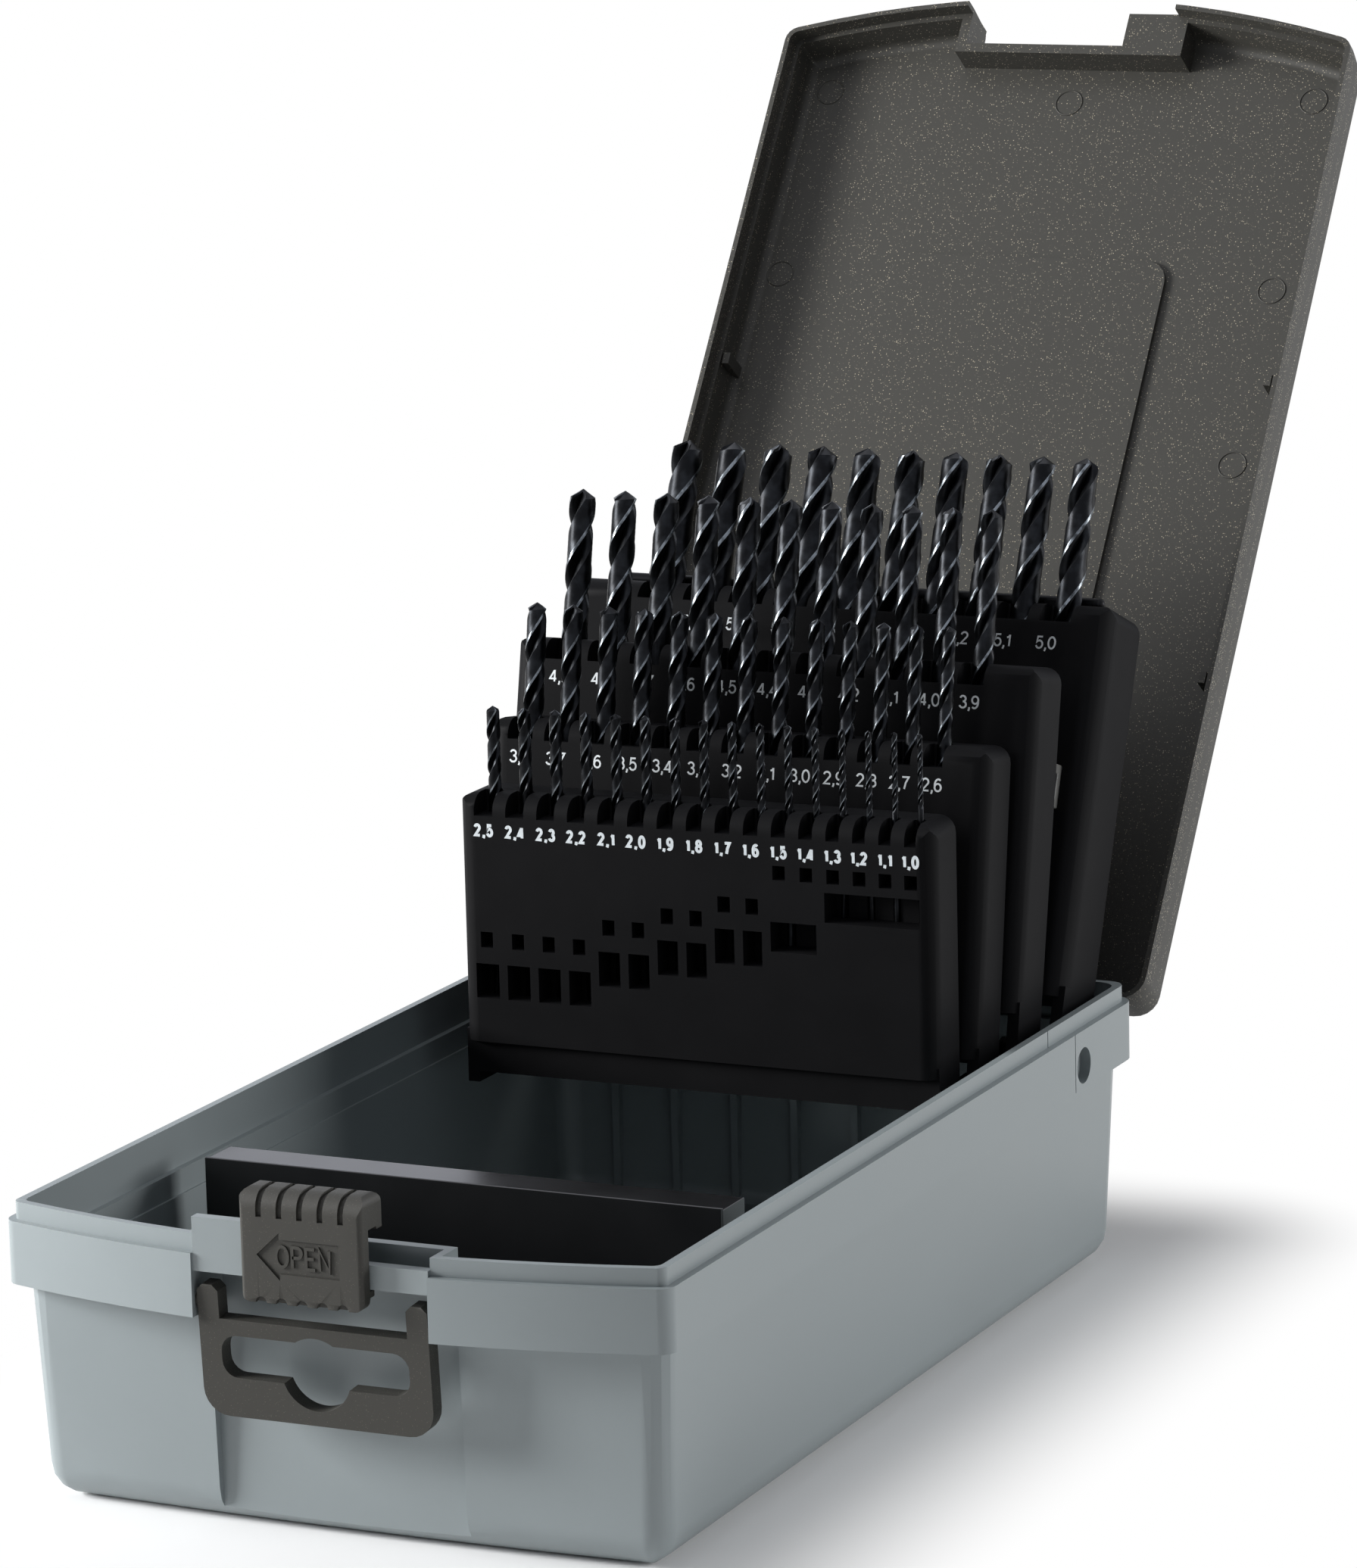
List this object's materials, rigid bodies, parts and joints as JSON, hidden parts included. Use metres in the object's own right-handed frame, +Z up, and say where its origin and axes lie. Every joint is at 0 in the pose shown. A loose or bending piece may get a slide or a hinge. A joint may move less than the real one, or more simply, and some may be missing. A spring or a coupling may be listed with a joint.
{
  "type": "drill bit case",
  "caption": "Flat plastic case for twist drills: a hinged lid opens and racks fan out from the base, each holding a row of drills upright; slide latch and swing-out hanger at the front.",
  "frame": {"origin": "middle of the flat underside of the base", "axes": "+X to the right seen from the latch side, +Y from the latch to the hinge, +Z up; stored with the lid and racks fully open, as pictured"},
  "size_m": [0.12, 0.3479, 0.2173],
  "materials": {
    "tray_plastic": "blue-grey moulded plastic, fine matt grain",
    "lid_plastic": "dark brown-grey moulded plastic with fine pale flecks",
    "rack_plastic": "black moulded plastic with printed socket sizes",
    "bar_plastic": "glossy black plastic",
    "link_plastic": "light grey moulded plastic",
    "pin_steel": "drawn bright steel wire",
    "rod_steel": "blackened steel rod",
    "drill_steel": "rolled high-speed steel, steam-blackened"
  },
  "bodies": {
    "base": {"base_tray": "tray_plastic", "stop_bar": "bar_plastic", "rack_axle": "pin_steel", "hinge_pin_left": "pin_steel", "hinge_pin_right": "pin_steel"},
    "lid": {"lid": "lid_plastic"},
    "latch_slide": {"latch_slide": "lid_plastic"},
    "hanger": {"hanger": "lid_plastic"},
    "rack_1": {"rack_1": "rack_plastic", "drill_1_0": "drill_steel", "drill_1_1": "drill_steel", "drills_1_2_and_1_3": "drill_steel", "drills_1_4_and_1_5": "drill_steel", "drills_1_6_and_1_7": "drill_steel", "drills_1_8_and_1_9": "drill_steel", "drills_2_0_and_2_1": "drill_steel", "drills_2_2_and_2_3": "drill_steel", "drills_2_4_and_2_5": "drill_steel"},
    "rack_2": {"rack_2": "rack_plastic", "spread_link_1_2": "link_plastic", "drill_2_6": "drill_steel", "drill_2_7": "drill_steel", "drill_2_8": "drill_steel", "drill_2_9": "drill_steel", "drill_3_0": "drill_steel", "drill_3_1": "drill_steel", "drill_3_2": "drill_steel", "drill_3_3": "drill_steel", "drill_3_4": "drill_steel", "drill_3_5": "drill_steel", "drill_3_6": "drill_steel", "drill_3_7": "drill_steel", "drill_3_8": "drill_steel"},
    "rack_3": {"rack_3": "rack_plastic", "spread_link_2_3": "link_plastic", "drill_3_9": "drill_steel", "drill_4_0": "drill_steel", "drill_4_1": "drill_steel", "drill_4_2": "drill_steel", "drill_4_3": "drill_steel", "drill_4_4": "drill_steel", "drill_4_5": "drill_steel", "drill_4_6": "drill_steel", "drill_4_7": "drill_steel", "drill_4_8": "drill_steel", "drill_4_9": "drill_steel"},
    "rack_4": {"rack_4": "rack_plastic", "spread_link_3_4": "link_plastic", "rack_rod": "rod_steel", "drill_5_0": "drill_steel", "drill_5_1": "drill_steel", "drill_5_2": "drill_steel", "drill_5_3": "drill_steel", "drill_5_4": "drill_steel", "drill_5_5": "drill_steel", "drill_5_6": "drill_steel", "drill_5_7": "drill_steel", "drill_5_8": "drill_steel", "drill_5_9": "drill_steel"}
  },
  "joints": [
    {"name": "lid_hinge", "type": "hinge", "parent": "base", "child": "lid", "pos_m": [0, 0.1025, 0.047], "axis": [1, 0, 0], "range_deg": [0, 126]},
    {"name": "rack_1_fold", "type": "hinge", "parent": "base", "child": "rack_1", "pos_m": [0, 0.0752, 0.0415], "axis": [1, 0, 0], "range_deg": [0, 90]},
    {"name": "rack_2_fold", "type": "hinge", "parent": "base", "child": "rack_2", "pos_m": [0, 0.0752, 0.0415], "axis": [1, 0, 0], "range_deg": [0, 98.4]},
    {"name": "rack_3_fold", "type": "hinge", "parent": "base", "child": "rack_3", "pos_m": [0, 0.0752, 0.0415], "axis": [1, 0, 0], "range_deg": [0, 101.5]},
    {"name": "rack_4_fold", "type": "hinge", "parent": "base", "child": "rack_4", "pos_m": [0, 0.0752, 0.0415], "axis": [1, 0, 0], "range_deg": [0, 112]},
    {"name": "latch_travel", "type": "slide", "parent": "base", "child": "latch_slide", "axis": [1, 0, 0], "range_m": [-0.0099, 0.0099]},
    {"name": "hanger_swing", "type": "hinge", "parent": "base", "child": "hanger", "pos_m": [0, -0.1067, 0.0399], "axis": [-1, 0, 0], "range_deg": [0, 90]}
  ],
  "couplings": [
    {"joint": "rack_1_fold", "follows": "lid_hinge", "ratio": 0.71428},
    {"joint": "rack_2_fold", "follows": "lid_hinge", "ratio": 0.78095},
    {"joint": "rack_3_fold", "follows": "lid_hinge", "ratio": 0.80555},
    {"joint": "rack_4_fold", "follows": "lid_hinge", "ratio": 0.88888}
  ]
}
